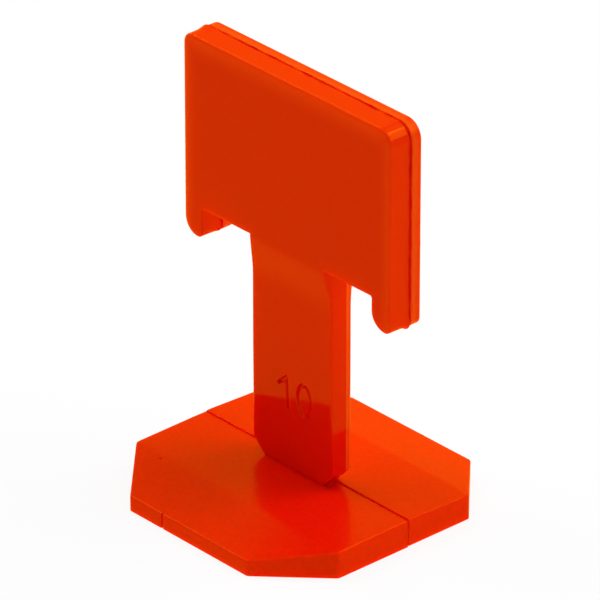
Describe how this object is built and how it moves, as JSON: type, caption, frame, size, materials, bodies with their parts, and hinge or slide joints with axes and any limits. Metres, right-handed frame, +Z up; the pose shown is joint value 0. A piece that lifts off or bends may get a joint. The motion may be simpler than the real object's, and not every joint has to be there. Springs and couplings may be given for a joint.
{
  "type": "tile levelling clip",
  "caption": "One-piece moulded tile levelling clip: octagonal base, flat snap-off stem that spaces the joint, and a wide head with down-turned hooks for a wedge.",
  "frame": {"origin": "middle of the base's underside", "axes": "+Z up the stem, +X along the head's width, -Y towards the front half of the mould"},
  "size_m": [0.0364, 0.036, 0.0558],
  "materials": {
    "orange_plastic": "semi-gloss injection-moulded plastic"
  },
  "bodies": {
    "root": {"levelling_clip": "orange_plastic"}
  },
  "joints": []
}
